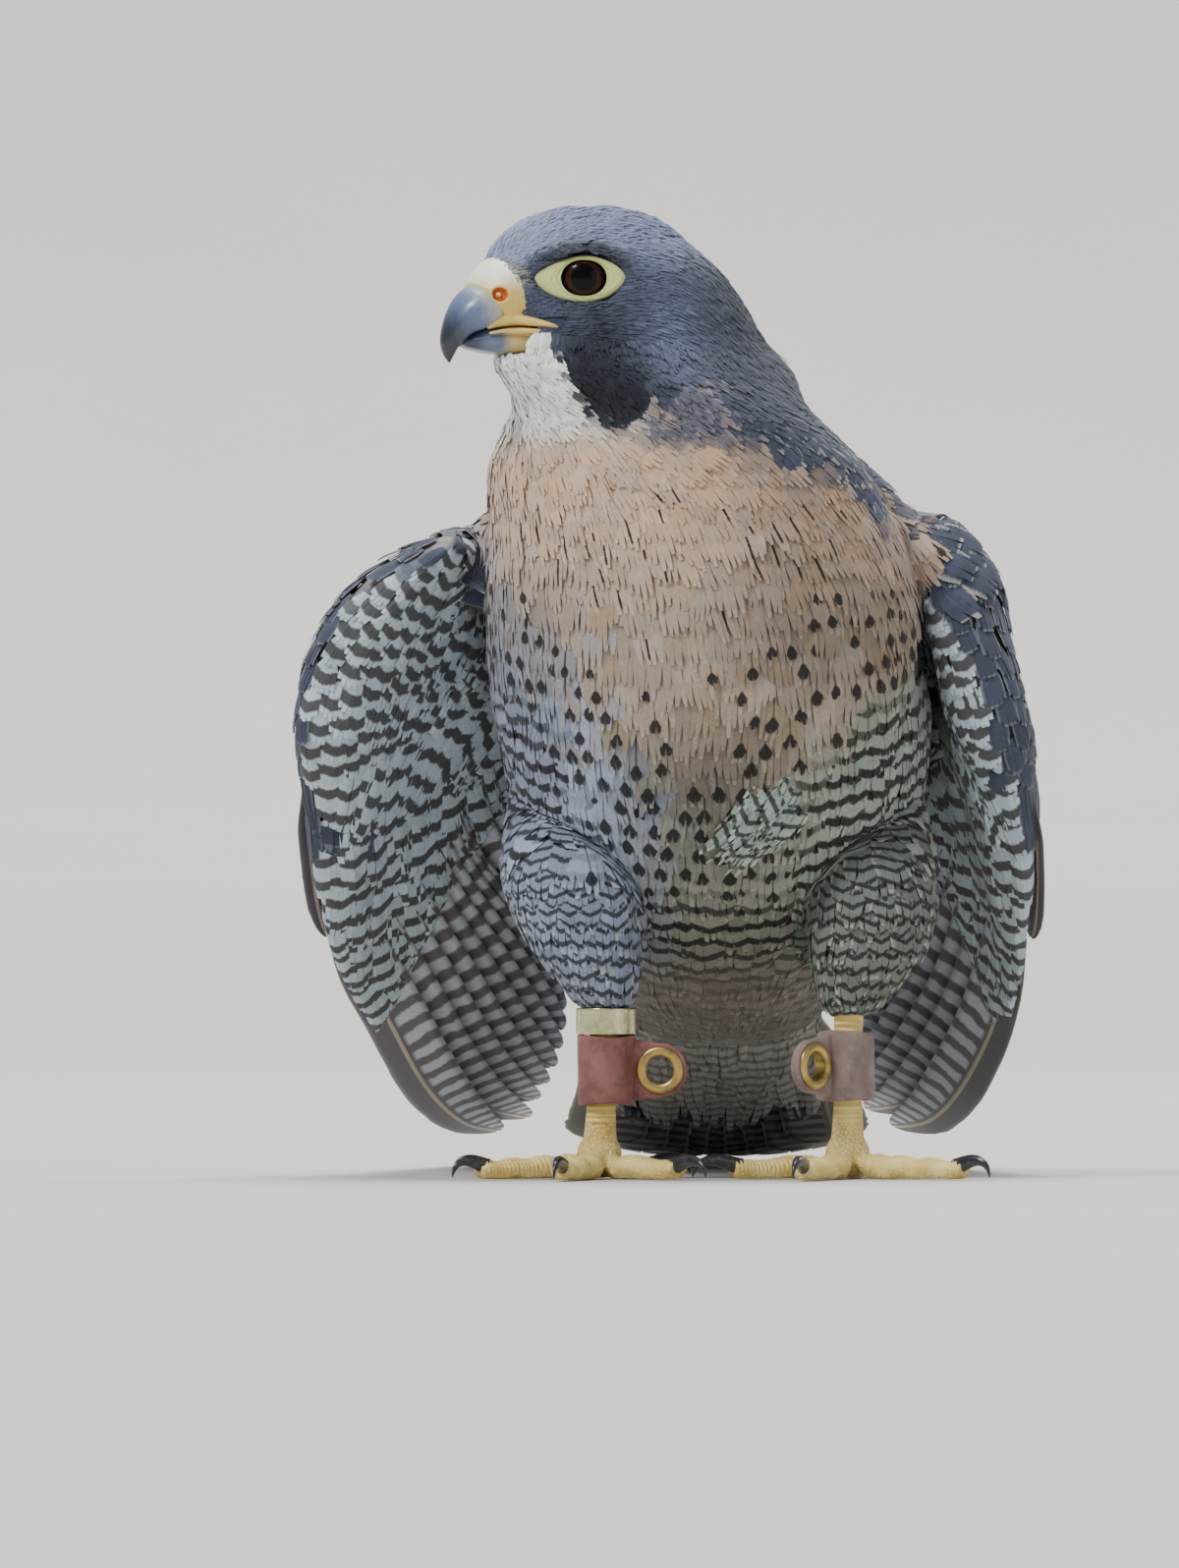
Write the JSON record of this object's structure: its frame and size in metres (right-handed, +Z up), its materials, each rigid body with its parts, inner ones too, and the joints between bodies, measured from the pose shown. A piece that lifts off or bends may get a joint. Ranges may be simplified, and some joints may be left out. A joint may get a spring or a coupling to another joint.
{
  "type": "peregrine falcon model",
  "caption": "Life-size standing peregrine falcon, head turned to its right and wings drooped, with leather anklets and a leg ring.",
  "frame": {"origin": "middle of the model's box, on the floor between the feet and the tail", "axes": "the bird faces -Y, its left side is at +X, and +Z is up; its wings and tail reach back along +Y"},
  "size_m": [0.206, 0.346, 0.266],
  "materials": {
    "breast_feathers": "soft feathers, buff with dark spots and bars",
    "slate_feathers": "soft feathers, slate blue-grey",
    "barred_feathers": "soft feathers, pale with dark bars",
    "flight_feathers": "stiff feathers, grey-brown with pale bars",
    "tail_feathers": "stiff feathers, slate with darker bars",
    "cere_skin": "bare yellow skin, slightly moist",
    "eye_skin": "bare pale yellow skin",
    "bill_horn": "slate-blue horn, darker to the tip",
    "eye": "wet dark brown",
    "toe_skin": "yellow scaled skin",
    "claw_horn": "black polished horn",
    "leather": "oiled red-brown leather, worn at the edges",
    "brass": "polished brass",
    "ring_metal": "brushed pale gold metal"
  },
  "bodies": {
    "root": {"torso": "breast_feathers", "neck": "slate_feathers", "head": "slate_feathers", "tail": "tail_feathers", "cere": "cere_skin", "bill_upper": "bill_horn", "bill_lower": "bill_horn", "leg_ring": "ring_metal", "eye_right": "eye", "eye_ring_right": "eye_skin", "wing_arm_right": "barred_feathers", "wing_primaries_right": "flight_feathers", "wing_secondaries_right": "flight_feathers", "wing_alula_right": "flight_feathers", "thigh_right": "barred_feathers", "tarsus_right": "toe_skin", "foot_right": "toe_skin", "anklet_right": "leather", "grommet_right": "brass", "claw_outer_right": "claw_horn", "claw_middle_right": "claw_horn", "claw_inner_right": "claw_horn", "claw_hind_right": "claw_horn", "eye_left": "eye", "eye_ring_left": "eye_skin", "wing_arm_left": "barred_feathers", "wing_primaries_left": "flight_feathers", "wing_secondaries_left": "flight_feathers", "wing_alula_left": "flight_feathers", "thigh_left": "barred_feathers", "tarsus_left": "toe_skin", "foot_left": "toe_skin", "anklet_left": "leather", "grommet_left": "brass", "claw_outer_left": "claw_horn", "claw_middle_left": "claw_horn", "claw_inner_left": "claw_horn", "claw_hind_left": "claw_horn"}
  },
  "joints": []
}
